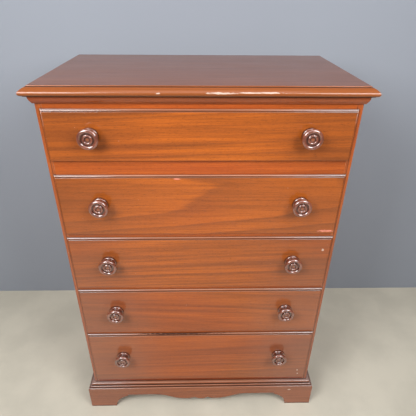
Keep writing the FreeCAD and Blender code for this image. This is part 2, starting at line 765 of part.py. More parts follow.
def knob_profile():
    """Corners of a turned knob: radius across, distance in front of the face up."""
    hole = "Dims.screw_radius + Dims.screw_clearance"
    hole_end = "Dims.screw_reach + Dims.screw_tip_room"
    bead = "Dims.knob_flange_thickness / 2"
    flange = "Dims.knob_flange_radius"
    rim = "Dims.knob_rim_radius"
    rim_bead = "Dims.knob_rim_thickness / 2"
    rim_in = f"{rim} - {rim_bead}"
    shoulder = f"{rim_in} - Dims.knob_rim_shoulder"
    neck_run = f"({shoulder} - Dims.knob_neck_radius)"
    neck = f"(Dims.knob_neck_flatness * sqrt({neck_run}^2 + Dims.knob_neck_length^2))"
    quirk_in = f"{rim} - Dims.knob_rim_width"
    quirk_run = f"(Dims.knob_rim_width - {rim_bead})"
    quirk = f"Layout.rim_front - {rim_bead} + sqrt(({rim_bead})^2 - {quirk_run}^2)"
    dish_edge = f"{quirk} + Dims.knob_quirk_step"
    boss = "Dims.knob_boss_radius"
    ring = "Dims.knob_boss_ring"
    boss_foot = f"Layout.rim_front - {ring}"
    dish_fall = f"({dish_edge} - ({boss_foot}))"
    dish_chord = f"sqrt(({quirk_in} - {boss})^2 + {dish_fall}^2)"
    dish = f"(Dims.knob_dish_flatness * {dish_chord})"
    button_out = f"({boss} - 2 * {ring})"
    button = tangent_radius(button_out, "Dims.knob_button_rise")
    return [
        (hole, "0"),
        (f"{flange} - {bead}", "0", bead, "left"),
        (flange, bead, bead, "left"),
        (f"{flange} - {bead}", "Dims.knob_flange_thickness"),
        ("Dims.knob_neck_radius", "Dims.knob_flange_thickness", neck, "right"),
        (shoulder, "Layout.rim_back"),
        (rim_in, "Layout.rim_back", rim_bead, "left"),
        (rim, f"Layout.rim_back + {rim_bead}", rim_bead, "left"),
        (rim_in, "Layout.rim_front", rim_bead, "left"),
        (quirk_in, quirk),
        (quirk_in, dish_edge, dish, "right"),
        (boss, boss_foot, ring, "left"),
        (f"{boss} - {ring}", "Layout.rim_front", ring, "left"),
        (button_out, boss_foot, button, "left"),
        ("0", f"{boss_foot} + Dims.knob_button_rise"),
        ("0", hole_end),
        (hole, hole_end),
    ]


def screw_profile():
    """Corners of a knob screw: radius across, distance in front of the drawer face up."""
    seat = "-(Layout.lip_proud + Dims.front_body_depth)"
    crown = tangent_radius("Dims.screw_head_radius", "Dims.screw_head_height")
    return [
        ("0", f"{seat} - Dims.screw_head_height", crown, "left"),
        ("Dims.screw_head_radius", seat),
        ("Dims.screw_radius", seat),
        ("Dims.screw_radius", "Dims.screw_reach"),
        ("0", "Dims.screw_reach"),
    ]


def turned_piece(label, profile, number, sign):
    """Turn a profile about an axis that points forward out of the drawer face."""
    body = new_body(label)
    half = new_sketch(body, "XY_Plane", label + "_half")
    draw_outline(half, profile)
    turn(body, half)
    forward = FreeCAD.Rotation(FreeCAD.Vector(0, 0, 1), 180)
    body.Placement = FreeCAD.Placement(FreeCAD.Vector(0, 0, 0), forward)
    return place(
        body,
        f"{sign} * Layout.knob_half",
        "-Layout.lip_proud",
        f"Layout.floor_{number} + Dims.knob_height_{number}",
    )


def drawer(number):
    """Make one drawer: bottom, back, sides, front, knobs and their screws."""
    inner = "Layout.drawer_half - Dims.drawer_side_thickness"
    lower_edge = f"Layout.floor_{number} + Dims.running_gap"
    bottom_low = f"{lower_edge} + Dims.drawer_bottom_height"
    bottom_high = f"{bottom_low} + Dims.drawer_bottom_thickness"
    panel_half = f"{inner} + Dims.groove_depth"
    bottom = board(
        f"drawer_bottom_{number}",
        (f"-({panel_half})", "Dims.front_body_depth - Dims.groove_depth", bottom_low),
        (panel_half, "Layout.drawer_rear - Dims.drawer_back_inset", bottom_high),
    )
    back_half = f"{inner} + Dims.drawer_back_housing"
    back_rear = "Layout.drawer_rear - Dims.drawer_back_inset"
    side_top = f"Layout.floor_{number} + Dims.opening_height_{number} - Dims.drawer_top_gap"
    back_top = f"{side_top} - Dims.drawer_back_drop"
    back = board(
        f"drawer_back_{number}",
        (f"-({back_half})", f"{back_rear} - Dims.drawer_back_thickness", bottom_high),
        (back_half, back_rear, back_top),
    )
    sides = [
        house(f"drawer_side_{name}_{number}", side_blank(number, name, sign), [bottom, back])
        for name, sign in SIDES
    ]
    front = house(f"drawer_front_{number}", front_blank(number), sides + [bottom])
    knobs = [
        turned_piece(f"knob_{name}_{number}", knob_profile(), number, sign)
        for name, sign in SIDES
    ]
    screws = [
        turned_piece(f"knob_screw_{name}_{number}", screw_profile(), number, sign)
        for name, sign in SIDES
    ]
    for piece in [front] + sides + [back, bottom] + knobs:
        keep(piece)
    keep(group(f"knob_screws_{number}", screws))


for number in DRAWERS:
    drawer(number)

# Build, test and write every sub-part
doc.recompute()
failed = [item.Label for item in doc.Objects if "Invalid" in item.State or "Error" in item.State]
if failed:
    raise RuntimeError("not built: " + ", ".join(failed))
for piece in subparts:
    if piece.Shape.isNull() or not piece.Shape.isValid():
        raise RuntimeError("bad shape: " + piece.Label)
for piece in subparts:
    piece.Shape.exportStep(f"parts/{piece.Label}.step")
    box = piece.Shape.BoundBox
    print(
        f"{piece.Label}: {len(piece.Shape.Solids)} solid(s), {piece.Shape.Volume / 1000:.2f} cm3, "
        f"{box.XLength:.1f} x {box.YLength:.1f} x {box.ZLength:.1f} mm"
    )
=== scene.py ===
# %% [markdown]
# A tall chest of five drawers
#
# This lesson dresses a tall mahogany chest. Its joinery, sizes and sliding drawers come ready
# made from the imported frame, in metres, with +Z up and the drawers facing -Y. What is left for
# us is what a finisher does: ease the edges, turn the knobs, stain and polish the wood, and let
# some years of use show.

# %% Load the frame
import json
import math

import bmesh
import bpy
from mathutils import Matrix, Vector

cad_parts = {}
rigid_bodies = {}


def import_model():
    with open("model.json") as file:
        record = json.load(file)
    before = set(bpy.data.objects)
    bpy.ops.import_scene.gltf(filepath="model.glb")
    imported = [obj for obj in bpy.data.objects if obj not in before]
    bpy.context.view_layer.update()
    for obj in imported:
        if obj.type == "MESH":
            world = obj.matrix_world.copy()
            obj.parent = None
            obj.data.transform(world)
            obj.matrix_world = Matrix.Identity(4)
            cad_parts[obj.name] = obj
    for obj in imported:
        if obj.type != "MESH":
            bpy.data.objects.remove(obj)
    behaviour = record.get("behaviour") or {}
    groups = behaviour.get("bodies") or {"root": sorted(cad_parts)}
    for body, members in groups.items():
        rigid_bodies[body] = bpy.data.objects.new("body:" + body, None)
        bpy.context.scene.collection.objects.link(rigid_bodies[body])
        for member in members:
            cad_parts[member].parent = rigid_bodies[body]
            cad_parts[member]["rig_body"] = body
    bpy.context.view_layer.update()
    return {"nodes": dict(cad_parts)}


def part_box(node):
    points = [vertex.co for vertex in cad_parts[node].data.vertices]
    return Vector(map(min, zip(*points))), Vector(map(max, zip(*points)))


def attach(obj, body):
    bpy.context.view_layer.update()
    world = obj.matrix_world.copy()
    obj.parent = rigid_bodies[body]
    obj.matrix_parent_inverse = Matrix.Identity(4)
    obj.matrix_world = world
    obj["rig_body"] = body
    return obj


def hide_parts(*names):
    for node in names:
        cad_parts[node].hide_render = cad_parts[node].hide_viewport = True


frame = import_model()
scene = bpy.context.scene

# %% [markdown]
# The camera
#
# The view is that of someone standing a step in front of the chest and looking down at it, so
# the drawers narrow towards the floor. A camera could be aimed with a tracking constraint, but
# three turns applied in order (lean back from straight down, roll, swing) also keep its slight
# tilt, and they can be read as plain angles.

# %% Camera
EYE = Vector((-0.0039, -1.1407, 1.4243))
LOOK_DOWN = math.radians(30.211)
SWING_RIGHT = math.radians(1.471)
ROLL = math.radians(0.531)
LENS_MM = 33.108
SENSOR_MM = 36.0

camera_data = bpy.data.cameras.new("camera")
camera_data.lens = LENS_MM
camera_data.sensor_width = SENSOR_MM
camera = bpy.data.objects.new("camera", camera_data)
scene.collection.objects.link(camera)
turns = (
    Matrix.Rotation(-SWING_RIGHT, 4, "Z")
    @ Matrix.Rotation(math.pi / 2 - LOOK_DOWN, 4, "X")
    @ Matrix.Rotation(ROLL, 4, "Z")
)
camera.matrix_world = Matrix.Translation(EYE) @ turns
scene.camera = camera
scene.view_settings.view_transform = "Standard"
print("camera:", round(camera_data.lens, 1), "mm lens,", round(EYE.z, 2), "m above the floor")

# %% [markdown]
# Shader arithmetic
#
# Every finish below is a tree of shader nodes. Wiring nodes one by one hides the idea behind
# them, so a small class wraps an output socket and lets Python's own signs add the Math nodes:
# `1 - mask * 0.4` reads as what it does. All other nodes come from one method that takes the
# node's type, its settings and its sockets.


# %% Numbers on a surface
class Value:
    """A number that varies over a surface, held as a node's output socket."""

    def __init__(self, finish, socket):
        self.finish = finish
        self.socket = socket

    def maths(self, operation, first, second=0):
        """Add a Math node."""
        return self.finish.node("ShaderNodeMath", {"operation": operation}, {0: first, 1: second})

    def __add__(self, other):
        return self.maths("ADD", self, other)

    def __sub__(self, other):
        return self.maths("SUBTRACT", self, other)

    def __rsub__(self, other):
        return self.maths("SUBTRACT", other, self)

    def __mul__(self, other):
        return self.maths("MULTIPLY", self, other)

    def __pow__(self, other):
        return self.maths("POWER", self, other)

    def __abs__(self):
        return self.maths("ABSOLUTE", self)

    def fraction(self):
        """Keep what follows the decimal point."""
        return self.maths("FRACT", self)

    def larger(self, other):
        """Take the larger of two numbers."""
        return self.maths("MAXIMUM", self, other)

    __radd__ = __add__
    __rmul__ = __mul__


print("a Value adds nodes for + - * ** and abs")

# %% A material under construction
# The Mix node repeats its socket names, so its colour sockets are given by number.
MIX_FACTOR, MIX_FIRST, MIX_SECOND, MIX_RESULT = 0, 6, 7, 2
NOISE_ROUGHNESS = 0.55
LINE_ROUGHNESS = 0.6


class Finish:
    """A material under construction: its methods add nodes and return what they give."""

    def __init__(self, name):
        self.material = bpy.data.materials.new(name)
        self.material.use_nodes = True
        self.tree = self.material.node_tree
        self.tree.nodes.clear()

    def node(self, kind, settings=None, sockets=None, output=0):
        """Add a node: its settings first, then the values or links of its sockets."""
        made = self.tree.nodes.new(kind)
        for name, setting in (settings or {}).items():
            setattr(made, name, setting)
        for key, given in (sockets or {}).items():
            if isinstance(given, Value):
                self.tree.links.new(given.socket, made.inputs[key])
            else:
                made.inputs[key].default_value = given
        return Value(self, made.outputs[output]) if made.outputs else None

    def mix(self, factor, first, second):
        """Blend two colours."""
        sockets = {MIX_FACTOR: factor, MIX_FIRST: first, MIX_SECOND: second}
        return self.node("ShaderNodeMix", {"data_type": "RGBA"}, sockets, MIX_RESULT)

    def place(self):
        """Read the place on the piece, in metres."""
        return self.node("ShaderNodeTexCoord", {}, {}, "Object")

    def part(self, place, axis):
        """Take one coordinate of a place."""
        return self.node("ShaderNodeSeparateXYZ", {}, {0: place}, axis)

    def length(self, vector):
        """Measure a vector."""
        return self.node("ShaderNodeVectorMath", {"operation": "LENGTH"}, {0: vector}, "Value")

    def attribute(self, name):
        """Read a number that the mesh carries."""
        return self.node("ShaderNodeAttribute", {"attribute_name": name}, {}, "Fac")

    def noise(self, place, along, across, detail=3.0, wander=0.0):
        """Cloudy noise whose clouds are as long and as wide as asked, in metres."""
        scale = (1 / along, 1 / across, 1 / across)
        stretched = self.node("ShaderNodeMapping", {}, {"Vector": place, "Scale": scale})
        sockets = {"Vector": stretched, "Scale": 1.0, "Detail": detail}
        sockets["Roughness"] = NOISE_ROUGHNESS
        sockets["Distortion"] = wander
        return self.node("ShaderNodeTexNoise", {}, sockets)

    def line_noise(self, value, size):
        """Noise along one number, with clouds as long as the size."""
        sockets = {"W": value * (1 / size), "Scale": 1.0, "Detail": 3.0}
        sockets["Roughness"] = LINE_ROUGHNESS
        return self.node("ShaderNodeTexNoise", {"noise_dimensions": "1D"}, sockets)

    def step(self, value, low, high):
        """Rise smoothly from 0 to 1 while the value goes from low to high."""
        settings = {"interpolation_type": "SMOOTHSTEP"}
        sockets = {"Value": value, "From Min": low, "From Max": high}
        return self.node("ShaderNodeMapRange", settings, sockets)

    def band(self, value, rise, fall):
        """Be 1 within a band: rise from 0 in one span of the value, fall in another."""
        return self.step(value, *rise) * (1 - self.step(value, *fall))

    def patches(self, place, size, span, **look):
        """Find patches of noise: their size, and the span of the noise in which one begins."""
        return self.step(self.noise(place, *size, **look), *span)

    def cover(self, colour, mask, paint, share):
        """Lay paint over a colour where the mask is, as thickly as the share says."""
        return self.mix(mask * share, colour, paint)

    def bump(self, height, depth):
        """Raise the surface by the height map, from 0 to 1, times the depth in metres."""
        sockets = {"Height": height, "Distance": depth, "Strength": 1.0}
        return self.node("ShaderNodeBump", {}, sockets)

    def surface(self, sockets):
        """Close the tree with a Principled shader."""
        shader = self.node("ShaderNodeBsdfPrincipled", {}, sockets)
        self.node("ShaderNodeOutputMaterial", {}, {"Surface": shader})
        return self.material


def shade(colour, share):
    """Darken a colour to a share of its light."""
    return tuple(channel * share for channel in colour[:3]) + (1,)


print("shader helpers ready")

# %% [markdown]
# The stage
#
# The chest stands on a pale floor in front of a plain grey-blue backdrop. The backdrop stands
# close behind, so its cloth has one side only. Seen from behind it is clear, and it casts
# neither shadow nor light, so the back of the chest can be looked at too.

# %% Floor
FLOOR_HALF = 6.0
FLOOR_COLOUR = (0.55, 0.51, 0.42, 1)
FLOOR_SHADE = 0.88
FLOOR_MOTTLE = {"size": (0.25, 0.25), "span": (0.35, 0.65), "detail": 5.0}


def staged(name, bm, material):
    """Make a stage object, which is no part of the chest."""
    mesh = bpy.data.meshes.new(name)
    bm.to_mesh(mesh)
    bm.free()
    mesh.materials.append(material)
    thing = bpy.data.objects.new(name, mesh)
    scene.collection.objects.link(thing)
    return thing


floor_finish = Finish("pale_floor")
mottle = floor_finish.patches(floor_finish.place(), **FLOOR_MOTTLE)
floor_colour = floor_finish.mix(mottle, shade(FLOOR_COLOUR, FLOOR_SHADE), FLOOR_COLOUR)
floor_material = floor_finish.surface({"Base Color": floor_colour, "Roughness": 0.75})
floor_mesh = bmesh.new()
bmesh.ops.create_grid(floor_mesh, x_segments=1, y_segments=1, size=FLOOR_HALF)
staged("floor", floor_mesh, floor_material)
print("floor:", 2 * FLOOR_HALF, "m square")

# %% Backdrop
BACKDROP_Y = 0.43
BACKDROP_HEIGHT = 4.0
BACKDROP_COLOUR = (0.285, 0.307, 0.352, 1)

cloth_finish = Finish("one_sided_backdrop")
cloth = cloth_finish.node(
    "ShaderNodeBsdfPrincipled", {}, {"Base Color": BACKDROP_COLOUR, "Roughness": 0.9}
)
clear = cloth_finish.node("ShaderNodeBsdfTransparent")
rear_side = cloth_finish.node("ShaderNodeNewGeometry", {}, {}, "Backfacing")
one_sided = cloth_finish.node("ShaderNodeMixShader", {}, {0: rear_side, 1: cloth, 2: clear})
cloth_finish.node("ShaderNodeOutputMaterial", {}, {"Surface": one_sided})
backdrop_mesh = bmesh.new()
bmesh.ops.create_grid(backdrop_mesh, x_segments=1, y_segments=1, size=FLOOR_HALF)
upright = Matrix.Rotation(math.pi / 2, 4, "X")
flatten = Matrix.Diagonal((1, BACKDROP_HEIGHT / (2 * FLOOR_HALF), 1, 1))
stand = Matrix.Translation((0, BACKDROP_Y, BACKDROP_HEIGHT / 2))
bmesh.ops.transform(backdrop_mesh, matrix=stand @ upright @ flatten, verts=backdrop_mesh.verts)
backdrop = staged("backdrop", backdrop_mesh, cloth_finish.material)
backdrop.visible_shadow = False
backdrop.visible_diffuse = False
print("backdrop:", BACKDROP_HEIGHT, "m high,", BACKDROP_Y, "m behind the middle")

# %% [markdown]
# The lights
#
# Two big soft boxes stand high on the left and the right of the viewer. They throw the shadows of
# the knobs inwards and down, and draw pale lines along the rounded lips and the nose of the top,
# brightest near the ends. The left one is a little stronger. A dim panel under the ceiling joins
# the lines in the middle, and a weak box lights the back for whoever walks round. The room is a
# world whose light grows from the horizon towards the zenith.

# %% Lamps
CHEST = Vector((0, -0.2, 0.75))
BELOW = Vector((0, -1.1, 0))
# A lamp's name, its place, what it points at, its width and height, and its power.
LAMPS = [
    ("softbox_left", Vector((-1.06, -1.4, 2.0)), CHEST, (0.85, 1.1), 43),
    ("softbox_right", Vector((1.06, -1.4, 2.0)), CHEST, (0.85, 1.1), 33),
    ("softbox_rear", Vector((0, 2.4, 0.75)), CHEST, (1.2, 0.8), 14),
    ("panel_ceiling", Vector((0, -1.1, 2.8)), BELOW, (1.4, 1.8), 12),
]


def softbox(name, place, aim, size, power):
    """Hang a soft rectangular light and point it at its aim."""
    light = bpy.data.lights.new(name, "AREA")
    light.shape = "RECTANGLE"
    light.size, light.size_y = size
    light.energy = power
    lamp = bpy.data.objects.new(name, light)
    turn = (aim - place).to_track_quat("-Z", "Y").to_matrix().to_4x4()
    lamp.matrix_world = Matrix.Translation(place) @ turn
    scene.collection.objects.link(lamp)


for lamp_row in LAMPS:
    softbox(*lamp_row)
print("lamps:", [lamp_row[0] for lamp_row in LAMPS])

# %% Room
ROOM_COLOUR = (0.95, 0.97, 1.0, 1)
HORIZON = 0.06
ZENITH = 0.34

studio = bpy.data.worlds.new("studio")
studio.use_nodes = True
room = studio.node_tree.nodes["Background"]
room.inputs["Color"].default_value = ROOM_COLOUR
direction = studio.node_tree.nodes.new("ShaderNodeTexCoord")
upward = studio.node_tree.nodes.new("ShaderNodeSeparateXYZ")
ceiling = studio.node_tree.nodes.new("ShaderNodeMapRange")
ceiling.inputs["From Min"].default_value = 0.0
ceiling.inputs["To Min"].default_value = HORIZON
ceiling.inputs["To Max"].default_value = ZENITH
studio.node_tree.links.new(direction.outputs["Generated"], upward.inputs[0])
studio.node_tree.links.new(upward.outputs["Z"], ceiling.inputs["Value"])
studio.node_tree.links.new(ceiling.outputs[0], room.inputs["Strength"])
scene.world = studio
print("room light: from", HORIZON, "at the horizon to", ZENITH, "overhead")

# %% [markdown]
# How the wood is drawn
#
# A board is a slice through a tree, and its figure is where the slice cuts the yearly rings. Near
# the heart of the tree that gives nested arches, further out nearly straight lines. Both are one
# formula: the ring number grows along the board, and with the square of the distance from the
# heart line. A ring starts dark at a sharp edge and pales slowly. Streaks and pores are noise
# stretched along the board. Each board carries numbers of its own: one moves its noise, so no two
# boards look alike, the others say where its heart line lies, where a ring starts and how
# strongly the rings show.

# %% Grain helpers
GRAIN_TURN = {"X": (0, 0, 0), "Y": (0, 0, -math.pi / 2), "Z": (0, math.pi / 2, 0)}
BOARD_SHIFT = (7.3, 1.9, 3.1)
ARCH = 48.0
WANDER_SIZE = (0.5, 0.07)
WANDER = 0.35
RING_STEP = 0.42
RING_START = 0.10
RING_FADE = 1.6


def grain_place(finish, grain):
    """Return places on a board whose grain runs along X, and the ring number there."""
    sockets = {"Vector": finish.place(), "Rotation": GRAIN_TURN[grain]}
    turned = finish.node("ShaderNodeMapping", {}, sockets)
    sockets = {0: BOARD_SHIFT, "Scale": finish.attribute("board")}
    shift = finish.node("ShaderNodeVectorMath", {"operation": "SCALE"}, sockets)
    shifted = finish.node("ShaderNodeVectorMath", {"operation": "ADD"}, {0: turned, 1: shift})
    across = finish.part(turned, "Y") + finish.part(turned, "Z")
    off_heart = across - finish.attribute("heart")
    along = finish.part(turned, "X") - finish.attribute("start")
    wander = finish.noise(shifted, *WANDER_SIZE, detail=2.0) * WANDER
    return shifted, along + off_heart * off_heart * ARCH + wander


def ring_edges(finish, rings):
    """Give the darkness of the rings: sharp where one starts, then fading."""
    part = (rings * (1 / RING_STEP)).fraction()
    return finish.step(part, 0.0, RING_START) * (1 - part) ** RING_FADE


print("grain runs along", sorted(GRAIN_TURN))

# %% [markdown]
# Stained mahogany
#
# The show wood is mahogany under a red stain. Rings and clouds of two tones give its figure,
# narrow ribbons and streaks its grain, and short dark dashes its open pores. In broad patches the
# stain is redder. An image of wood would repeat from board to board, so all of it is noise.

# %% Stain and figure
DEEP = 0.6
# Dark brown for pores and dirt, and for painted shade and shadows.
DARK_GRIME_AND_SHADE = (0.030, 0.010, 0.006, 1)
RED_STAIN = (0.33, 0.045, 0.012, 1)
RING_SHARE = 0.55
CLOUD_SIZE = (0.9, 0.07)
CLOUD_SPAN = (0.38, 0.62)
RIBBONS = {"size": (0.25, 0.006), "span": (0.40, 0.66), "wander": 0.4}
STREAKS = {"size": (0.10, 0.0016), "span": (0.52, 0.70), "wander": 0.2}
PORES = {"size": (0.009, 0.0005), "span": (0.60, 0.68), "detail": 1.0}
RIBBON_SHARE = 0.33
STREAK_SHARE = 0.34
PORE_SHARE = 0.5
RED_PATCHES = {"size": (0.6, 0.25), "span": (0.45, 0.65), "detail": 1.0}


def ring_figure(finish, place, rings):
    """Blend soft clouds with sharp rings, as strongly as the board says."""
    broad = finish.noise(place, *CLOUD_SIZE, detail=2.0, wander=0.5)
    mingled = finish.line_noise(rings, RING_STEP) * RING_SHARE + broad * (1 - RING_SHARE)
    clouds = finish.step(mingled, *CLOUD_SPAN)
    strength = finish.attribute("rings")
    return clouds * (1 - strength) + (1 - ring_edges(finish, rings)) * strength


def stained(finish, place, rings, light, dark, redness):
    """Return the colour of the stained wood, and where its streaks and its pores are."""
    deep = shade(dark, DEEP)
    streaks = finish.patches(place, **STREAKS)
    pores = finish.patches(place, **PORES)
    colour = finish.mix(ring_figure(finish, place, rings), dark, light)
    colour = finish.cover(colour, finish.patches(place, **RIBBONS), deep, RIBBON_SHARE)
    colour = finish.cover(colour, streaks, deep, STREAK_SHARE)
    colour = finish.cover(colour, pores, DARK_GRIME_AND_SHADE, PORE_SHARE)
    if redness:
        red = finish.patches(place, **RED_PATCHES)
        colour = finish.cover(colour, red, RED_STAIN, redness)
    return colour, streaks, pores


print("stain: two tones, ribbons, streaks, pores and red patches")

# %% [markdown]
# Marks of use, and painted light
#
# Use and light follow from where a face is. The ends of the fronts are darker, painted shade where
# less light falls, and near the floor a painted reflection of the pale floor lies on them as a
# milky haze. Dirt sits on every slope of the mouldings; the joints get dirt and painted shade, and
# a painted shadow runs beside the lips' ends. Pale dust lies on the ledges, with painted sheen where
# it pales towards the lips' ends. A mask finds each of these places: how far out, how high, how
# steep, or how closed in. The nose of the top is paler than its flat.

# %% Where marks lie
# Tint of the painted floor reflection.
FLOOR_REFLECTION_TINT = (0.30, 0.145, 0.105, 1)
LIGHT_EDGE = (0.42, 0.115, 0.020, 1)
# Colours of dust, greyer where it is painted sheen at the lips' ends.
DUST_AND_SHEEN_GREY = (0.31, 0.245, 0.225, 1)
DUST_AND_SHEEN_WARM = (0.54, 0.27, 0.17, 1)
DUST_AND_SHEEN_SIZE = (0.12, 0.05)
DUST_AND_SHEEN_LEAST = 0.22
DUST_AND_SHEEN_AT_ENDS = 0.18
DUST_AND_SHEEN_IN_CLOUDS = 0.5
# Distances from the middle, heights, and steepness from 0, upright, to 1, level.
ENDS = (0.08, 0.38)
DUST_AND_SHEEN_ENDS = (0.15, 0.39)
FLOOR_REFLECTION_HEIGHTS = (0.25, 0.95)
SLOPE = (0.08, 0.25)
LEDGE = (0.45, 0.75)
NEARLY_LEVEL = (0.97, 0.995)


def outward_mask(finish, near, far):
    """Rise from the middle of the chest towards both its ends."""
    return finish.step(abs(finish.part(finish.place(), "X")), near, far)


def height_mask(finish, near, far):
    """Rise from one height to another."""
    return finish.step(finish.part(finish.place(), "Z"), near, far)


def upward_mask(finish, steep, level):
    """Find the faces that look up, from a steep one to a nearly level one."""
    return finish.step(finish.attribute("upward"), steep, level)


def soiled(finish, place, colour, deep, marks):
    """Lay on the marks and the painted light that follow from where a face is and which way it
    looks.
    """
    # Painted shade: the ends darker, where less light falls on them.
    if "dark_ends" in marks:
        colour = finish.cover(colour, outward_mask(finish, *ENDS), deep, marks["dark_ends"])
    # Painted reflection: the pale floor mirrored as a milky haze low on the ends.
    if "milky" in marks:
        low_ends = outward_mask(finish, *ENDS) * (1 - height_mask(finish, *FLOOR_REFLECTION_HEIGHTS))
        colour = finish.cover(colour, low_ends, FLOOR_REFLECTION_TINT, marks["milky"])
    if "light_edge" in marks:
        nose = 1 - upward_mask(finish, *NEARLY_LEVEL)
        colour = finish.cover(colour, nose, LIGHT_EDGE, marks["light_edge"])
    if "dirt" in marks:
        colour = finish.cover(colour, upward_mask(finish, *SLOPE), DARK_GRIME_AND_SHADE, marks["dirt"])
    # Pale dust on the ledges with painted sheen: paler and greyer towards the lips' ends, standing
    # in for the lamps' highlight.
    if "dust" in marks:
        far_out = outward_mask(finish, *DUST_AND_SHEEN_ENDS)
        clouds = finish.noise(place, *DUST_AND_SHEEN_SIZE)
        dust_and_sheen_share = DUST_AND_SHEEN_LEAST + far_out * DUST_AND_SHEEN_AT_ENDS + clouds * DUST_AND_SHEEN_IN_CLOUDS
        dust = finish.mix(far_out, DUST_AND_SHEEN_WARM, DUST_AND_SHEEN_GREY)
        colour = finish.cover(colour, upward_mask(finish, *LEDGE) * dust_and_sheen_share, dust, marks["dust"])
    return colour


print("dust lies from", LEDGE[0], "of level on, dirt from", SLOPE[0])

# %% Joints in painted shade, and the painted shadow beside the lips
JOINT_WIDTH = 0.008
OPENNESS = (0.48, 0.86)
AO_SAMPLES = 8
# Where the painted shadow beside the lips' ends lies.
LIP_END = 0.3925
LIP_TOP = (1.162, 1.163)
LIP_GAP_SHADOW_RISE = (-0.001, 0.0)
LIP_GAP_SHADOW_FALL = (0.0005, 0.003)


def joint_mask(finish):
    """Find the joints between pieces, closed in within a few millimetres, for dirt and painted
    shade.
    """
    settings = {"samples": AO_SAMPLES}
    sockets = {"Distance": JOINT_WIDTH}
    openness = finish.node("ShaderNodeAmbientOcclusion", settings, sockets, "AO")
    return 1 - finish.step(openness, *OPENNESS)


def lip_gap_shadow_mask(finish):
    """Find the lines beside the lips' ends, where a painted shadow of the gap lies on the case."""
    place = finish.place()
    beside = abs(finish.part(place, "X")) - LIP_END
    below_top = 1 - finish.step(finish.part(place, "Z"), *LIP_TOP)
    return finish.band(beside, LIP_GAP_SHADOW_RISE, LIP_GAP_SHADOW_FALL) * below_top


print("rubbed lines", LIP_END, "m to both sides, joints up to", JOINT_WIDTH, "m wide")

# %% [markdown]
# Nicks, splinters and chips
#
# Some marks sit where something has knocked or caught. Arrises have lost their colour in nicks,
# and pale specks are strewn over all of it. The larger ones are listed one by one: torn wood at the
# second drawer's corner and lip, chips along the nose of the top, at three places of the fronts
# and on the base, and a painted shadow where the fourth drawer's lower edge sags. Each is a ragged
# spot: a squashed ball whose border noise has frayed. They are colour only, because a finger
# would hardly feel them.

# %% Spots
# A paint: its colour, and how thickly it covers.
BARE_WOOD = ((0.50, 0.21, 0.11, 1), 0.7)
TORN_WOOD = ((0.62, 0.20, 0.13, 1), 1.0)
CHIPPED = ((0.60, 0.47, 0.39, 1), 0.8)
# Painted shadow of a gap, in the dark colour of dirt and shade.
GAP_SHADOW = (DARK_GRIME_AND_SHADE, 0.9)
SPECK = ((0.52, 0.38, 0.30, 1), 0.5)
NICKS = {"size": (0.03, 0.03), "span": (0.58, 0.68)}
SPECKS = {"size": (0.005, 0.005), "span": (0.87, 0.90), "detail": 0.0}
# A spot's middle, half its length and half its height.
SPLINTERS = [
    ((0.365, -0.2158, 0.8065), 0.036, 0.0065),
    ((-0.064, -0.2158, 0.9755), 0.016, 0.0038),
]
FRONT_CHIPS = [
    ((0.367, -0.2158, 0.738), 0.006, 0.0080),
    ((0.359, -0.2158, 0.1825), 0.005, 0.0060),
    ((0.362, -0.2158, 0.1635), 0.004, 0.0050),
]
NOSE_CHIPS = [
    ((0.050, -0.2317, 1.2053), 0.060, 0.0032),
    ((0.113, -0.2317, 1.2059), 0.050, 0.0024),
    ((0.165, -0.2317, 1.2063), 0.050, 0.0031),
    ((-0.101, -0.2317, 1.2048), 0.012, 0.0024),
]
BASE_CHIPS = [((0.338, -0.2288, 0.0853), 0.010, 0.0050)]
# A painted shadow under the fourth drawer's sagging lower edge.
SAGGED_EDGE = [((-0.074, -0.2120, 0.3800), 0.240, 0.0090)]
SPOT_DEPTH = 0.02
SPOT_BORDER = (1.25, 1.45)
FRAY_SIZE = (0.012, 0.002)
FRAY = 1.6
SPOT_PAINTS = {"splinters": TORN_WOOD, "chips": CHIPPED, "gaps": GAP_SHADOW}


def spot_mask(finish, spots):
    """Find ragged spots, each given by its middle, half its length and half its height."""
    place = finish.place()
    frayed = finish.noise(place, *FRAY_SIZE, detail=2.0) * FRAY
    found = 0
    for middle, length, height in spots:
        sockets = {"Vector": place, "Location": middle, "Scale": (length, SPOT_DEPTH, height)}
        within = finish.node("ShaderNodeMapping", {"vector_type": "TEXTURE"}, sockets)
        spot = 1 - finish.step(finish.length(within) + frayed, *SPOT_BORDER)
        found = spot.larger(found)
    return found


print("spots:", len(SPLINTERS + FRONT_CHIPS + NOSE_CHIPS + BASE_CHIPS + SAGGED_EDGE))

# %% [markdown]
# Old polish
#
# Over stain and marks lies old clear polish. It is the shader's coat: smooth, a little wavy, and
# clear enough to mirror the floor. It is thinner where hands have smudged it, and worn off on
# nicks, in hollows and on the dusty ends of the lips. The top has been wiped duller than the rest.

# %% Polished mahogany
REDNESS = 0.2
JOINT_DIRT_AND_SHADE = 0.9
QUIRK = (0.05, 0.5)
QUIRK_DIRT_AND_SHADE = 0.9
SMUDGE_SIZE = (0.15, 0.08)
SWELL_SIZE = (0.12, 0.03)
SWELL = 0.9
PORE_DIP = 0.06
RELIEF = 0.0002
WOOD_ROUGHNESS = 0.40
# What a mark adds to the roughness, and what it takes from the coat.
ROUGHER = {"smudges": 0.12, "streaks": 0.08, "nicks": 0.1}
COAT_LOSS = {"smudges": 0.1, "nicks": 0.4, "hollows": 0.8, "gaps": 0.9, "dust": 0.7}
POLISH = {"Specular IOR Level": 0.15, "Coat Roughness": 0.13, "Coat IOR": 1.55}


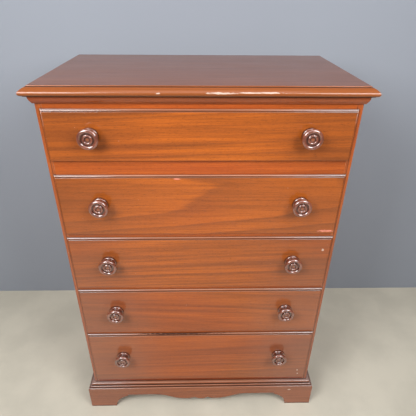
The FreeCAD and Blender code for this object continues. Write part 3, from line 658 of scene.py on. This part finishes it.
def polished_mahogany(name, grain, light, dark, marks):
    """Stained mahogany with a clear coat: its two tones, and how strong each mark is, painted light
    among them.
    """
    finish = Finish(name)
    place, rings = grain_place(finish, grain)
    redness = marks.get("redness", REDNESS)
    colour, streaks, pores = stained(finish, place, rings, light, dark, redness)
    colour = soiled(finish, place, colour, shade(dark, DEEP), marks)
    worn = finish.attribute("arris") * finish.patches(place, **NICKS)
    colour = finish.cover(colour, worn, *BARE_WOOD)
    colour = finish.cover(colour, finish.patches(place, **SPECKS), *SPECK)
    spots = {kind: spot_mask(finish, marks[kind]) for kind in SPOT_PAINTS if kind in marks}
    for kind, mask in spots.items():
        colour = finish.cover(colour, mask, *SPOT_PAINTS[kind])
    # Painted shadow on the case beside the lips' ends.
    if "rubbed" in marks:
        colour = finish.cover(colour, lip_gap_shadow_mask(finish), DARK_GRIME_AND_SHADE, marks["rubbed"])
    # Joints and quirks get dirt and painted shade, and lose some coat.
    joint = joint_mask(finish) * marks.get("joint", JOINT_DIRT_AND_SHADE)
    hollow = joint.larger(finish.step(finish.attribute("hollow"), *QUIRK) * QUIRK_DIRT_AND_SHADE)
    smudges = finish.noise(place, *SMUDGE_SIZE, detail=4.0)
    roughness = WOOD_ROUGHNESS + smudges * ROUGHER["smudges"]
    roughness = roughness + streaks * ROUGHER["streaks"] + worn * ROUGHER["nicks"]
    coat = marks.get("polish", 1.0) - smudges * COAT_LOSS["smudges"]
    coat = coat - worn * COAT_LOSS["nicks"] - hollow * COAT_LOSS["hollows"]
    if "gaps" in spots:
        coat = coat - spots["gaps"] * COAT_LOSS["gaps"]
    if "dust" in marks:
        coat = coat - finish.attribute("sideways") * marks["dust"] * COAT_LOSS["dust"]
    swell = finish.noise(place, *SWELL_SIZE, detail=1.0)
    return finish.surface(POLISH | {
        # Hollows and joints take the dark colour: dirt and painted shade.
        "Base Color": finish.mix(hollow, colour, DARK_GRIME_AND_SHADE),
        "Roughness": roughness,
        "Coat Weight": coat,
        "Normal": finish.bump(swell * SWELL - pores * PORE_DIP, RELIEF),
    })


print("polish:", POLISH)

# %% Tones and marks of the show wood
# A light and a dark tone for each kind of piece, and how strong its marks are.
CASE_TONES = ((0.36, 0.075, 0.012, 1), (0.25, 0.047, 0.008, 1))
SIDE_TONES = ((0.42, 0.100, 0.018, 1), (0.30, 0.066, 0.013, 1))
# The rails' tones are a lighter copy of the case's: painted light that offsets the shade over the
# rails.
LIT_RAIL_TONES = ((0.505, 0.107, 0.013, 1), (0.37, 0.071, 0.009, 1))
TOP_TONES = ((0.215, 0.055, 0.012, 1), (0.155, 0.038, 0.008, 1))
BASE_TONES = ((0.37, 0.100, 0.030, 1), (0.255, 0.066, 0.020, 1))
FRONT_TONES = ((0.47, 0.110, 0.011, 1), (0.243, 0.060, 0.011, 1))
# Some marks are painted light: shaded ends, a floor reflection, shadows by the lips and a sagging
# edge, and sheen with the dust.
TOP_MARKS = {"light_edge": 0.3, "polish": 0.75, "chips": NOSE_CHIPS, "redness": 0.0}
SIDE_MARKS = {"milky": 0.4, "rubbed": 0.6}
RAIL_MARKS = {"dark_ends": 0.3, "joint": 0.4}
BASE_MARKS = {"dark_ends": 0.12, "milky": 0.22, "dirt": 0.3, "dust": 0.7, "chips": BASE_CHIPS}
FRONT_MARKS = {
    "dark_ends": 0.32, "milky": 0.4, "dirt": 0.6, "dust": 1.0,
    "splinters": SPLINTERS, "chips": FRONT_CHIPS, "gaps": SAGGED_EDGE,
}

case_mahogany = {
    "X": polished_mahogany("case_mahogany_x", "X", *CASE_TONES, {}),
    "Y": polished_mahogany("case_mahogany_y", "Y", *CASE_TONES, {}),
    "Z": polished_mahogany("case_mahogany_z", "Z", *SIDE_TONES, SIDE_MARKS),
}
lit_rail_mahogany = {"X": polished_mahogany("rail_mahogany_x", "X", *LIT_RAIL_TONES, RAIL_MARKS)}
top_mahogany = {"X": polished_mahogany("top_mahogany_x", "X", *TOP_TONES, TOP_MARKS)}
base_mahogany = {
    grain: polished_mahogany(f"base_mahogany_{grain.lower()}", grain, *BASE_TONES, BASE_MARKS)
    for grain in "XY"
}
front_mahogany = {"X": polished_mahogany("front_mahogany_x", "X", *FRONT_TONES, FRONT_MARKS)}
show_woods = (case_mahogany, lit_rail_mahogany, top_mahogany, base_mahogany, front_mahogany)
print("polished:", [wood.name for woods in show_woods for wood in woods.values()])

# %% [markdown]
# Plain woods
#
# Inside, a maker saves the mahogany. Drawer sides and backs are pale poplar, runners and glue
# blocks are pine, the back and the drawer bottoms are thin plywood, and the hidden faces of the
# show pieces are left raw. None of them is polished, so their finish is rough and has no coat.

# %% Plain woods
SOIL = ((0.10, 0.065, 0.04, 1), 0.25)
SOIL_PATCHES = {"size": (0.2, 0.2), "span": (0.52, 0.75), "detail": 5.0}
PLAIN_RING = 0.3
PLAIN_RING_SPAN = (0.35, 0.65)
PLAIN_STREAK = (0.15, 0.003)
PLAIN_STREAK_SPAN = (0.52, 0.75)
PLAIN_STREAK_SHARE = 0.45
PLAIN_ROUGHNESS = 0.62
SOIL_ROUGHER = 0.1


def plain_wood(name, grain, light, dark):
    """Unpolished wood with soft figure, fine streaks and a little soil."""
    finish = Finish(name)
    place, rings = grain_place(finish, grain)
    figure = finish.step(finish.line_noise(rings, PLAIN_RING), *PLAIN_RING_SPAN)
    streaks = finish.noise(place, *PLAIN_STREAK, detail=4.0)
    soil = finish.patches(place, **SOIL_PATCHES)
    colour = finish.mix(figure, dark, light)
    streaky = finish.step(streaks, *PLAIN_STREAK_SPAN)
    colour = finish.cover(colour, streaky, shade(dark, DEEP), PLAIN_STREAK_SHARE)
    colour = finish.cover(colour, soil, *SOIL)
    return finish.surface({
        "Base Color": colour,
        "Roughness": PLAIN_ROUGHNESS + soil * SOIL_ROUGHER,
        "Normal": finish.bump(streaks, RELIEF),
    })


def plain_woods(name, grains, light, dark):
    """One plain wood for each way its grain may run."""
    return {grain: plain_wood(f"{name}_{grain.lower()}", grain, light, dark) for grain in grains}


raw_mahogany = plain_woods("raw_mahogany", "XYZ", (0.33, 0.155, 0.08, 1), (0.24, 0.10, 0.05, 1))
poplar = plain_woods("poplar", "XY", (0.56, 0.42, 0.24, 1), (0.45, 0.31, 0.16, 1))
pine = plain_woods("pine", "YZ", (0.52, 0.35, 0.17, 1), (0.40, 0.23, 0.09, 1))
plywood = plain_woods("plywood", "XZ", (0.44, 0.29, 0.15, 1), (0.33, 0.19, 0.09, 1))
print("plain woods:", len(raw_mahogany) + len(poplar) + len(pine) + len(plywood))

# %% [markdown]
# Knob wood
#
# The knobs are turned from wood whose grain points at you, so their fronts show end grain: dots
# and faint rings left by the chisel. They are stained plum brown, much darker than the drawers,
# and carry a thick shine. The groove and the well of the face, and the wood round the neck, are
# darkened with dirt and painted shade, and the button in the well is rubbed bare. A ring pattern
# needs the knob's own middle, so each knob gets a finish of its own.

# %% Knob wood
KNOB_TONES = ((0.13, 0.029, 0.014, 1), (0.24, 0.060, 0.027, 1))
KNOB_FIBRE = ((0.030, 0.009, 0.008, 1), 0.6)
KNOB_WORN = ((0.24, 0.075, 0.045, 1), 0.3)
# Dirt and painted shade in the knob's hollows.
KNOB_DIRT_AND_SHADE = ((0.030, 0.010, 0.007, 1), 0.62)
KNOB_BUTTON = ((0.24, 0.075, 0.032, 1), 0.7)
KNOB_ROUGHNESS = 0.34
KNOB_ROUGHER = 0.12
KNOB_COAT_LOSS = {"hollows": 0.4, "button": 0.5}
KNOB_SHINE = {"Coat Roughness": 0.12, "Coat IOR": 2.2}
FACE_PLANE = (1, 0, 1)
CHISEL_RING = 0.0012
CHISEL_DEPTH = 0.00006
FIBRES = {"size": (0.0016, 0.0016), "span": (0.50, 0.66)}
KNOB_PATCH = 0.014
TONE_SPAN = (0.3, 0.7)
WORN_SPAN = (0.60, 0.72)
# Radii of the face, and depths behind the knob's middle, at which a part begins and ends.
FACE_DEPTH = (-0.0090, -0.0085)
GROOVE = ((0.0126, 0.0138), (0.0152, 0.0164))
GROOVE_DIRT_AND_SHADE = 0.7
WELL = ((0.0040, 0.0050), (0.0072, 0.0080))
BUTTON = (0.0035, 0.0048)
NECK = ((-0.0050, -0.0025), (0.0085, 0.0100))


def knob_hollows(finish, radius, behind):
    """Find where a knob is darkened with dirt and painted shade, and the button in its well."""
    on_face = 1 - finish.step(behind, *FACE_DEPTH)
    rings = finish.band(radius, *GROOVE) * GROOVE_DIRT_AND_SHADE + finish.band(radius, *WELL)
    hollow = finish.band(behind, *NECK).larger(rings * on_face)
    button = (1 - finish.step(radius, *BUTTON)) * on_face
    return hollow.larger(joint_mask(finish)), button


def knob_finish(name, centre):
    """Dark turned wood under a thick shine, its rings round the knob's own axis."""
    finish = Finish(name)
    place = finish.place()
    moved = finish.node("ShaderNodeMapping", {}, {"Vector": place, "Location": -centre})
    sockets = {0: moved, 1: FACE_PLANE}
    flat = finish.node("ShaderNodeVectorMath", {"operation": "MULTIPLY"}, sockets)
    radius = finish.length(flat)
    radial = finish.node("ShaderNodeCombineXYZ", {}, {"X": radius})
    rings = finish.noise(radial, CHISEL_RING, CHISEL_RING, detail=2.0)
    patches = finish.noise(place, KNOB_PATCH, KNOB_PATCH)
    worn = finish.step(patches, *WORN_SPAN)
    hollow, button = knob_hollows(finish, radius, finish.part(moved, "Y"))
    colour = finish.mix(finish.step(patches, *TONE_SPAN), *KNOB_TONES)
    colour = finish.cover(colour, finish.patches(flat, **FIBRES), *KNOB_FIBRE)
    colour = finish.cover(colour, worn, *KNOB_WORN)
    # Dirt and painted shade in the groove, the well, round the neck and at the joint.
    colour = finish.cover(colour, hollow, *KNOB_DIRT_AND_SHADE)
    colour = finish.cover(colour, button, *KNOB_BUTTON)
    coat = 1 - hollow * KNOB_COAT_LOSS["hollows"] - button * KNOB_COAT_LOSS["button"]
    return finish.surface(KNOB_SHINE | {
        "Base Color": colour,
        "Roughness": KNOB_ROUGHNESS + worn * KNOB_ROUGHER,
        "Coat Weight": coat,
        "Normal": finish.bump(rings, CHISEL_DEPTH),
    })


print("knob shine:", KNOB_SHINE)

# %% [markdown]
# Screws
#
# The knobs' screws show only inside the drawers: dull steel with a little rust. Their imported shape
# is right as it is, so they stay and only get a better finish.

# %% Screw steel
DRAWERS = range(1, 6)
STEEL = (0.42, 0.40, 0.37, 1)
RUST = (0.16, 0.07, 0.03, 1)
RUST_SPECKS = {"size": (0.004, 0.004), "span": (0.52, 0.66), "detail": 5.0}
RUST_DEPTH = 0.0001
STEEL_ROUGHNESS = 0.38
RUST_ROUGHER = 0.4
RUST_DULLS = 0.8


def steel_finish():
    """Dull screw steel with specks of rust."""
    finish = Finish("screw_steel")
    rust = finish.patches(finish.place(), **RUST_SPECKS)
    return finish.surface({
        "Base Color": finish.mix(rust, STEEL, RUST),
        "Metallic": 1 - rust * RUST_DULLS,
        "Roughness": STEEL_ROUGHNESS + rust * RUST_ROUGHER,
        "Normal": finish.bump(rust, RUST_DEPTH),
    })


screw_steel = steel_finish()
for drawer in DRAWERS:
    frame["nodes"][f"knob_screws_{drawer}"].data.materials[0] = screw_steel
print("steel:", screw_steel.name, "on the screws of", len(DRAWERS), "drawers")

# %% [markdown]
# Easing the edges
#
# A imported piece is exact, with edges like knives, and nobody could live with it. A maker takes a
# few strokes of sandpaper to every arris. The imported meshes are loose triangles, so each piece
# is copied, its triangles are merged into whole faces, and its long sharp edges are bevelled.
# A bevel modifier could do the same, but here we also want to mark the new faces, so that the
# finish can wear there, and to leave the hidden faces raw. Smooth shading runs over the small
# faces of an eased edge, and stops where a wide face begins, so that a broad board stays flat
# right up to its border.

# %% Edges of a piece
SHARP = math.radians(35)
LONG = 0.05


def is_arris(edge, shortest):
    """Tell whether an edge is outer, sharp and long enough to be eased."""
    if len(edge.link_faces) != 2 or not edge.is_convex:
        return False
    return edge.calc_face_angle() > SHARP and edge.calc_length() > shortest


def is_quirk(edge):
    """Tell whether an edge is the long sharp bottom of a hollow."""
    if not edge.is_manifold or edge.is_convex:
        return False
    return edge.calc_face_angle() > SHARP and edge.calc_length() > LONG


print("eased edges are sharper than", round(math.degrees(SHARP)), "degrees")

# %% Eased copies
MERGE = 1e-6
FLAT = math.radians(0.3)
WIDE = 0.01
FACING = 0.7
# An edge is eased if it is more than this many easings long.
EASINGS_LONG = 6
AXES = {
    "+X": Vector((1, 0, 0)), "-X": Vector((-1, 0, 0)), "+Y": Vector((0, 1, 0)),
    "+Z": Vector((0, 0, 1)), "-Z": Vector((0, 0, -1)),
}


def mark_faces(bm, eased, raw):
    """Write down each face's slope, whether it was eased, and whether it stays raw."""
    arris = bm.faces.layers.float["arris"]
    upward = bm.faces.layers.float["upward"]
    sideways = bm.faces.layers.float["sideways"]
    for face in eased:
        face[arris] = 1.0
    for face in bm.faces:
        face.smooth = True
        face[upward] = max(face.normal.z, 0)
        face[sideways] = abs(face.normal.x)
        face.material_index = int(any(face.normal.dot(AXES[way]) > FACING for way in raw))


def mark_edges(bm):
    """Keep sharp edges and the borders of wide faces, and write down the hollows."""
    hollow = bm.verts.layers.float["hollow"]
    wide = {face for face in bm.faces if face.calc_area() > WIDE}
    for edge in bm.edges:
        edge.smooth = not edge.is_manifold or edge.calc_face_angle() < SHARP
        if not wide.isdisjoint(edge.link_faces):
            edge.smooth = False
        if is_quirk(edge):
            for vertex in edge.verts:
                vertex[hollow] = 1.0


def eased_copy(node, easing, raw):
    """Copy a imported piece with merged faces, rounded arrises and marked raw faces."""
    bm = bmesh.new()
    bm.from_mesh(frame["nodes"][node].data)
    bm.verts.layers.float.new("hollow")
    for label in ("arris", "upward", "sideways"):
        bm.faces.layers.float.new(label)
    bmesh.ops.remove_doubles(bm, verts=bm.verts, dist=MERGE)
    bmesh.ops.dissolve_limit(bm, angle_limit=FLAT, verts=bm.verts, edges=bm.edges)
    sharp = [edge for edge in bm.edges if is_arris(edge, EASINGS_LONG * easing)]
    eased = bmesh.ops.bevel(
        bm, geom=sharp, offset=easing, offset_type="OFFSET", affect="EDGES",
        segments=2, profile=0.5, material=-1, clamp_overlap=True,
    )
    mark_faces(bm, eased["faces"], raw)
    bm.normal_update()
    mark_edges(bm)
    return bm


print("faces wider than", WIDE, "square metres keep flat borders")


# %% Finished pieces
def finished(name, bm, body, materials, numbers):
    """Turn a bmesh into a piece that rides on a body and carries its own numbers."""
    for label, number in numbers.items():
        layer = bm.verts.layers.float.new(label)
        for vertex in bm.verts:
            vertex[layer] = number
    mesh = bpy.data.meshes.new(name)
    bm.to_mesh(mesh)
    bm.free()
    for material in materials:
        mesh.materials.append(material)
    piece = bpy.data.objects.new(name, mesh)
    scene.collection.objects.link(piece)
    flat_faces = piece.modifiers.new("flat_faces", "WEIGHTED_NORMAL")
    flat_faces.keep_sharp = True
    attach(piece, body)
    return piece


# %% [markdown]
# The pieces
#
# One list says how each kind of piece is finished: its wood, the way its grain runs, how much
# its arrises are eased and which of its sides stay raw. The grain follows the length of every
# board, as it must: up the case sides, across the fronts and rails, front to back along the ends.

# %% Finish list
MOULDED = 0.0004
BOARD = 0.0008
ROUGH = 0.0005
HIDDEN_RAIL = ("+Y", "+Z", "-Z")
TOP = ("mahogany_case", top_mahogany, raw_mahogany)
CASE = ("mahogany_case", case_mahogany, raw_mahogany)
RAIL = ("mahogany_case", lit_rail_mahogany, raw_mahogany)
BASE = ("mahogany_case", base_mahogany, raw_mahogany)
FRONT = ("mahogany_front", front_mahogany, raw_mahogany)
DRAWER_BOX = ("drawer_wood", poplar, poplar)
FRAMING = ("frame_wood", pine, pine)
SHEET = ("plywood", plywood, plywood)

FINISHES = [
    ("top_panel", TOP, "X", MOULDED, ("-Z",)),
    ("bed_moulding_front", CASE, "X", MOULDED, ("+Y",)),
    ("bed_moulding_left", CASE, "Y", MOULDED, ("+X",)),
    ("bed_moulding_right", CASE, "Y", MOULDED, ("-X",)),
    ("side_panel_left", CASE, "Z", BOARD, ("+X", "+Y", "-Z")),
    ("side_panel_right", CASE, "Z", BOARD, ("-X", "+Y", "-Z")),
    ("base_front", BASE, "X", MOULDED, ("+Y",)),
    ("base_left", BASE, "Y", MOULDED, ("+X", "+Y")),
    ("base_right", BASE, "Y", MOULDED, ("-X", "+Y")),
    ("base_corner_blocks", FRAMING, "Z", ROUGH, ()),
    ("runners_left", FRAMING, "Y", ROUGH, ()),
    ("runners_right", FRAMING, "Y", ROUGH, ()),
    ("top_kickers", FRAMING, "Y", ROUGH, ()),
    ("back_panel", SHEET, "Z", ROUGH, ()),
    ("top_rail", RAIL, "X", BOARD, HIDDEN_RAIL),
    ("bottom_rail", CASE, "X", BOARD, HIDDEN_RAIL),
]
FINISHES += [(f"drawer_rail_{drawer}", RAIL, "X", BOARD, HIDDEN_RAIL) for drawer in DRAWERS[:-1]]
for drawer in DRAWERS:
    FINISHES += [
        (f"drawer_front_{drawer}", FRONT, "X", MOULDED, ("+Y",)),
        (f"drawer_side_left_{drawer}", DRAWER_BOX, "Y", ROUGH, ()),
        (f"drawer_side_right_{drawer}", DRAWER_BOX, "Y", ROUGH, ()),
        (f"drawer_back_{drawer}", DRAWER_BOX, "X", ROUGH, ()),
        (f"drawer_bottom_{drawer}", SHEET, "X", ROUGH, ()),
    ]
print("finishes listed for", len(FINISHES), "pieces")

# %% [markdown]
# Choosing the boards
#
# A maker picks the boards for the front with care. The second drawer's was cut near the heart of
# the tree, and its arches stand out. All others come from further out, where the rings are faint,
# and what is left to choose is how far off the heart line lies.

# %% Make the pieces
ACROSS = {"X": Vector((0, 1, 1)), "Y": Vector((-1, 0, 1)), "Z": Vector((-1, 1, 0))}
FAR_HEART = 0.26
HEARTS = {
    "drawer_front_2": 0.030, "drawer_front_3": 0.20, "drawer_front_4": -0.15, "top_panel": 0.45,
}
STARTS = {"drawer_front_2": 0.17}
FAINT_RINGS = 0.25
RINGS = {"drawer_front_2": 0.85}


def middle_of(node):
    """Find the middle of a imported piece."""
    low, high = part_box(node)
    return (Vector(low) + Vector(high)) / 2


eased_faces = 0
for board, (node, (slot, show, hidden), grain, easing, raw) in enumerate(FINISHES):
    mesh = eased_copy(node, easing, raw)
    body = frame["nodes"][node]["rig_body"]
    numbers = {
        "board": board,
        "heart": ACROSS[grain].dot(middle_of(node)) + HEARTS.get(node, FAR_HEART),
        "start": STARTS.get(node, board * BOARD_SHIFT[0]),
        "rings": RINGS.get(node, FAINT_RINGS),
    }
    woods = [show[grain], hidden[grain]]
    piece = finished(f"{node}_finished", mesh, body, woods, numbers)
    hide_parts(node)
    eased_faces += len(piece.data.polygons)
print("eased pieces:", len(FINISHES), "with", eased_faces, "faces")

# %% [markdown]
# Turned knobs
#
# A knob is turned on a lathe: the wood spins and the chisel draws one outline. In Blender the
# outline spins instead. It starts as a few corners, and rounding a corner is a vertex bevel: the
# wider the round, the larger its offset. From the drawer face up there are a flange, a hollow
# neck, a thick round rim, a deep groove, a raised inner ring, and a well with a small button in
# its middle. A blind hole in the back takes the screw.

# %% Knob outline
MM_PER_M = 1000
CORNER_STEPS = 6
# A corner's radius, its height over the drawer face and its rounding, in millimetres.
KNOB_OUTLINE = [
    (0.0, 17.5, 0), (2.1, 17.5, 0), (2.1, 0, 0),
    (21.5, 0, 2.6), (21.5, 5.5, 2.6), (13.5, 5.5, 0), (14.2, 17, 5.0), (21.25, 20, 0),
    (26.75, 20, 4.2), (26.75, 30, 4.8), (16.8, 30, 4.8), (16.8, 24.8, 0),
    (13.2, 24.8, 0), (13.2, 29.2, 2.6), (7.4, 29.2, 2.6), (7.4, 26, 0), (0.0, 27.2, 0),
]


def knob_outline():
    """Draw half the outline of a knob and round its corners."""
    bm = bmesh.new()
    corners = []
    for radius, height, _ in KNOB_OUTLINE:
        corners.append(bm.verts.new((radius / MM_PER_M, 0, height / MM_PER_M)))
    for first, second in zip(corners, corners[1:]):
        bm.edges.new((first, second))
    roundings = [rounding for _, _, rounding in KNOB_OUTLINE]
    for offset in sorted(set(roundings) - {0}):
        alike = [corner for corner, rounding in zip(corners, roundings) if rounding == offset]
        bmesh.ops.bevel(
            bm, geom=alike, offset=offset / MM_PER_M, offset_type="OFFSET", affect="VERTICES",
            segments=CORNER_STEPS, profile=0.5, material=-1, clamp_overlap=False,
        )
    return bm


print("knob outline:", len(KNOB_OUTLINE), "corners")

# %% Turn the knobs
KNOB_HEIGHT = 0.030
KNOB_STEPS = 56


def turned_knob(foot):
    """Spin the outline and set the knob on its foot, facing -Y."""
    bm = knob_outline()
    bmesh.ops.spin(
        bm, geom=bm.verts[:] + bm.edges[:], cent=(0, 0, 0), axis=(0, 0, 1), dvec=(0, 0, 0),
        angle=2 * math.pi, steps=KNOB_STEPS, use_merge=True, use_duplicate=False,
    )
    bmesh.ops.remove_doubles(bm, verts=bm.verts, dist=MERGE)
    bmesh.ops.recalc_face_normals(bm, faces=bm.faces)
    facing = Matrix.Rotation(math.pi / 2, 4, "X")
    bmesh.ops.transform(bm, matrix=Matrix.Translation(foot) @ facing, verts=bm.verts)
    for face in bm.faces:
        face.smooth = True
    for edge in bm.edges:
        edge.smooth = edge.calc_face_angle(0) < SHARP
    return bm


for drawer in DRAWERS:
    for side in ("left", "right"):
        node = f"knob_{side}_{drawer}"
        middle = middle_of(node)
        foot = middle + Vector((0, KNOB_HEIGHT / 2, 0))
        body = frame["nodes"][node]["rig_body"]
        wood = knob_finish(f"{node}_wood", middle)
        knob = finished(f"{node}_turned", turned_knob(foot), body, [wood], {})
        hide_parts(node)
print("knobs turned with", len(knob.data.polygons), "faces each, the last at", middle.to_tuple(3))

# %% [markdown]
# Brads in the back
#
# The thin back lies in rabbets of the case sides and is held there by brads, nails with small
# heads that are driven nearly flush. One low cone with its point cut off does for a head. All of
# them share one mesh, since none ever moves against the others.

# %% Drive the brads
BRAD_COUNT = 9
BRAD_SIDES = 12
BRAD_RADIUS = 0.0022
BRAD_TAPER = 0.7
BRAD_RISE = 0.0004
BRAD_INSET = 0.005
BRAD_MARGIN = 0.04

brad_heads = bmesh.new()
back_low, back_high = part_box("back_panel")
pitch = (back_high[2] - back_low[2] - 2 * BRAD_MARGIN) / (BRAD_COUNT - 1)
rearward = Matrix.Rotation(-math.pi / 2, 4, "X")
for across in (back_low[0] + BRAD_INSET, back_high[0] - BRAD_INSET):
    for number in range(BRAD_COUNT):
        height = back_low[2] + BRAD_MARGIN + number * pitch
        place = Vector((across, back_high[1] + BRAD_RISE / 2, height))
        bmesh.ops.create_cone(
            brad_heads, cap_ends=True, segments=BRAD_SIDES, radius1=BRAD_RADIUS,
            radius2=BRAD_RADIUS * BRAD_TAPER, depth=BRAD_RISE,
            matrix=Matrix.Translation(place) @ rearward,
        )
back_body = frame["nodes"]["back_panel"]["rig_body"]
finished("back_brads", brad_heads, back_body, [screw_steel], {})
print("brads:", 2 * BRAD_COUNT, "heads,", round(pitch, 3), "m apart, at y", round(back_high[1], 4))
